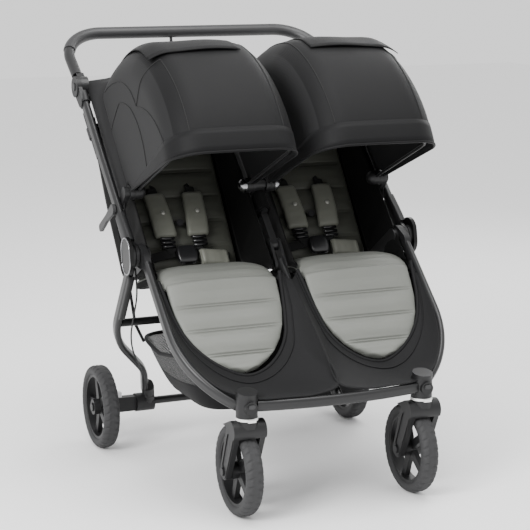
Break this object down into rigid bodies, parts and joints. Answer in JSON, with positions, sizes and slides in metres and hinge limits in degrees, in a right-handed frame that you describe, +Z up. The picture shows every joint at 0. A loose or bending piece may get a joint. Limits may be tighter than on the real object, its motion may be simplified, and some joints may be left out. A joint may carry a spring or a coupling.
{
  "type": "double stroller",
  "caption": "Side-by-side double folding stroller with swivelling front casters, two reclining padded seats, two canopies, a tilting handlebar and a basket.",
  "frame": {"origin": "on the ground under the middle of the bounding box", "axes": "+X to the right seen from the front, -Y to the front, +Z up"},
  "size_m": [0.764, 1.0398, 1.0717],
  "materials": {
    "frame_paint": "satin dark grey",
    "black_plastic": "moulded, fine grain",
    "white_plastic": "satin white",
    "grey_plastic": "satin",
    "steel": "plated",
    "canopy_cloth": "woven, near black",
    "panel_cloth": "woven charcoal",
    "pad_cloth": "quilted pale grey",
    "back_cloth": "quilted olive grey",
    "basket_cloth": "mesh sides and solid floor",
    "grip_cover": "stitched leatherette",
    "tyre_rubber": "treaded",
    "rim_plastic": "moulded spokes",
    "webbing": "padded straps"
  },
  "bodies": {
    "lower_frame": {"front_frame_tube": "frame_paint", "centre_lower_tube": "frame_paint", "side_hinges": "black_plastic", "caster_housings": "black_plastic", "seat_pad_left": "pad_cloth", "seat_pad_right": "pad_cloth", "front_panel": "panel_cloth", "basket": "basket_cloth"},
    "upper_frame": {"upper_side_tubes": "frame_paint", "centre_upper_frame": "frame_paint", "centre_sleeve": "canopy_cloth", "handle_housings": "black_plastic", "lock_rods": "steel", "canopy_mounts": "black_plastic", "side_wings": "canopy_cloth", "rear_panel": "canopy_cloth", "brake_cable_upper": "black_plastic"},
    "rear_frame": {"rear_legs": "frame_paint", "rear_cross_tubes": "frame_paint", "axle_housings": "black_plastic", "hinge_covers": "black_plastic", "brake_cable_lower": "black_plastic"},
    "handlebar": {"handlebar_tube": "frame_paint", "handlebar_grip": "grip_cover"},
    "brake_lever": {"brake_lever": "grey_plastic"},
    "seat_frame": {"seat_hinge_rod": "steel"},
    "canopy_hub_left": {"canopy_hubs_left": "black_plastic"},
    "canopy_left": {"canopy_bow_left": "black_plastic", "canopy_fabric_left": "canopy_cloth"},
    "seat_back_left": {"seat_back_left": "back_cloth", "harness_left": "webbing"},
    "buckle_button_left": {"buckle_button_left": "grey_plastic"},
    "calf_left": {"calf_pad_left": "pad_cloth"},
    "fork_left": {"fork_left": "black_plastic"},
    "front_wheel_left": {"front_tyre_left": "tyre_rubber", "front_rim_left": "rim_plastic"},
    "rear_wheel_left": {"rear_tyre_left": "tyre_rubber", "rear_rim_left": "rim_plastic"},
    "lock_ring_left": {"lock_ring_left": "white_plastic"},
    "caster_release_left": {"caster_release_left": "grey_plastic"},
    "handle_button_left": {"handle_button_left": "grey_plastic"},
    "brake_pin_left": {"brake_pin_left": "steel"},
    "canopy_hub_right": {"canopy_hubs_right": "black_plastic"},
    "canopy_right": {"canopy_bow_right": "black_plastic", "canopy_fabric_right": "canopy_cloth"},
    "seat_back_right": {"seat_back_right": "back_cloth", "harness_right": "webbing"},
    "buckle_button_right": {"buckle_button_right": "grey_plastic"},
    "calf_right": {"calf_pad_right": "pad_cloth"},
    "fork_right": {"fork_right": "black_plastic"},
    "front_wheel_right": {"front_tyre_right": "tyre_rubber", "front_rim_right": "rim_plastic"},
    "rear_wheel_right": {"rear_tyre_right": "tyre_rubber", "rear_rim_right": "rim_plastic"},
    "lock_ring_right": {"lock_ring_right": "white_plastic"},
    "caster_release_right": {"caster_release_right": "grey_plastic"},
    "handle_button_right": {"handle_button_right": "grey_plastic"},
    "brake_pin_right": {"brake_pin_right": "steel"}
  },
  "joints": [
    {"name": "fold", "type": "hinge", "parent": "lower_frame", "child": "upper_frame", "pos_m": [0, -0.092, 0.561], "axis": [1, 0, 0], "range_deg": [0, 145], "deforming": ["centre_sleeve"]},
    {"name": "rear_fold", "type": "hinge", "parent": "lower_frame", "child": "rear_frame", "pos_m": [0, -0.092, 0.561], "axis": [1, 0, 0], "range_deg": [-55, 0]},
    {"name": "seat_fold", "type": "hinge", "parent": "lower_frame", "child": "seat_frame", "pos_m": [0, 0.045, 0.478], "axis": [1, 0, 0], "range_deg": [0, 85], "deforming": ["harness_left", "harness_right"]},
    {"name": "canopy_tuck_left", "type": "hinge", "parent": "upper_frame", "child": "canopy_hub_left", "pos_m": [0, 0, 0.7], "axis": [1, 0, 0], "range_deg": [-110, 0], "deforming": ["canopy_fabric_left", "rear_panel"]},
    {"name": "canopy_left", "type": "hinge", "parent": "canopy_hub_left", "child": "canopy_left", "pos_m": [0, 0, 0.7], "axis": [-1, 0, 0], "range_deg": [0, 100], "deforming": ["canopy_fabric_left"]},
    {"name": "recline_left", "type": "hinge", "parent": "seat_frame", "child": "seat_back_left", "pos_m": [0, 0.045, 0.478], "axis": [-1, 0, 0], "range_deg": [0, 30]},
    {"name": "buckle_button_left", "type": "slide", "parent": "seat_back_left", "child": "buckle_button_left", "axis": [0, 0.8192, -0.5736], "range_m": [0, 0.0035], "stiffness_N_per_m": 300},
    {"name": "calf_left", "type": "hinge", "parent": "lower_frame", "child": "calf_left", "pos_m": [0, -0.185, 0.5], "axis": [-1, 0, 0], "range_deg": [0, 45]},
    {"name": "swivel_left", "type": "hinge", "parent": "lower_frame", "child": "fork_left", "pos_m": [-0.222, -0.459, 0.2], "axis": [0, 0, 1], "continuous": true},
    {"name": "front_spin_left", "type": "hinge", "parent": "fork_left", "child": "front_wheel_left", "pos_m": [-0.222, -0.412, 0.108], "axis": [1, 0, 0], "continuous": true},
    {"name": "rear_spin_left", "type": "hinge", "parent": "rear_frame", "child": "rear_wheel_left", "pos_m": [-0.355, 0.22, 0.108], "axis": [1, 0, 0], "continuous": true},
    {"name": "swivel_lock_left", "type": "hinge", "parent": "lower_frame", "child": "lock_ring_left", "pos_m": [-0.222, -0.459, 0.243], "axis": [0, 0, 1], "range_deg": [0, 25]},
    {"name": "caster_release_left", "type": "slide", "parent": "lower_frame", "child": "caster_release_left", "axis": [0, 1, 0], "range_m": [0, 0.003], "stiffness_N_per_m": 300},
    {"name": "handle_button_left", "type": "slide", "parent": "upper_frame", "child": "handle_button_left", "axis": [1, 0, 0], "range_m": [0, 0.003], "stiffness_N_per_m": 300},
    {"name": "brake_pin_left", "type": "slide", "parent": "rear_frame", "child": "brake_pin_left", "axis": [-1, 0, 0], "range_m": [0, 0.008]},
    {"name": "canopy_tuck_right", "type": "hinge", "parent": "upper_frame", "child": "canopy_hub_right", "pos_m": [0, 0, 0.7], "axis": [1, 0, 0], "range_deg": [-110, 0], "deforming": ["canopy_fabric_right", "side_wings"]},
    {"name": "canopy_right", "type": "hinge", "parent": "canopy_hub_right", "child": "canopy_right", "pos_m": [0, 0, 0.7], "axis": [-1, 0, 0], "range_deg": [0, 100], "deforming": ["canopy_fabric_right"]},
    {"name": "recline_right", "type": "hinge", "parent": "seat_frame", "child": "seat_back_right", "pos_m": [0, 0.045, 0.478], "axis": [-1, 0, 0], "range_deg": [0, 30]},
    {"name": "buckle_button_right", "type": "slide", "parent": "seat_back_right", "child": "buckle_button_right", "axis": [0, 0.8192, -0.5736], "range_m": [0, 0.0035], "stiffness_N_per_m": 300},
    {"name": "calf_right", "type": "hinge", "parent": "lower_frame", "child": "calf_right", "pos_m": [0, -0.185, 0.5], "axis": [-1, 0, 0], "range_deg": [0, 45]},
    {"name": "swivel_right", "type": "hinge", "parent": "lower_frame", "child": "fork_right", "pos_m": [0.222, -0.459, 0.2], "axis": [0, 0, 1], "continuous": true},
    {"name": "front_spin_right", "type": "hinge", "parent": "fork_right", "child": "front_wheel_right", "pos_m": [0.222, -0.412, 0.108], "axis": [1, 0, 0], "continuous": true},
    {"name": "rear_spin_right", "type": "hinge", "parent": "rear_frame", "child": "rear_wheel_right", "pos_m": [0.355, 0.22, 0.108], "axis": [1, 0, 0], "continuous": true},
    {"name": "swivel_lock_right", "type": "hinge", "parent": "lower_frame", "child": "lock_ring_right", "pos_m": [0.222, -0.459, 0.243], "axis": [0, 0, 1], "range_deg": [0, 25]},
    {"name": "caster_release_right", "type": "slide", "parent": "lower_frame", "child": "caster_release_right", "axis": [0, 1, 0], "range_m": [0, 0.003], "stiffness_N_per_m": 300},
    {"name": "handle_button_right", "type": "slide", "parent": "upper_frame", "child": "handle_button_right", "axis": [-1, 0, 0], "range_m": [0, 0.003], "stiffness_N_per_m": 300},
    {"name": "brake_pin_right", "type": "slide", "parent": "rear_frame", "child": "brake_pin_right", "axis": [1, 0, 0], "range_m": [0, 0.008]},
    {"name": "handle_tilt", "type": "hinge", "parent": "upper_frame", "child": "handlebar", "pos_m": [0, 0.31896, 0.93103], "axis": [1, 0, 0], "range_deg": [-50, 50]},
    {"name": "brake_lever", "type": "hinge", "parent": "upper_frame", "child": "brake_lever", "pos_m": [-0.3775, 0.01576, 0.65802], "axis": [1, 0, 0], "range_deg": [0, 45]}
  ],
  "couplings": [
    {"joint": "rear_fold", "follows": "fold", "ratio": -0.37931},
    {"joint": "seat_fold", "follows": "fold", "ratio": 0.58621},
    {"joint": "canopy_tuck_left", "follows": "fold", "ratio": -0.75862},
    {"joint": "brake_pin_left", "follows": "brake_lever", "m_per_rad": 0.010185},
    {"joint": "canopy_tuck_right", "follows": "fold", "ratio": -0.75862},
    {"joint": "brake_pin_right", "follows": "brake_lever", "m_per_rad": 0.010185}
  ]
}
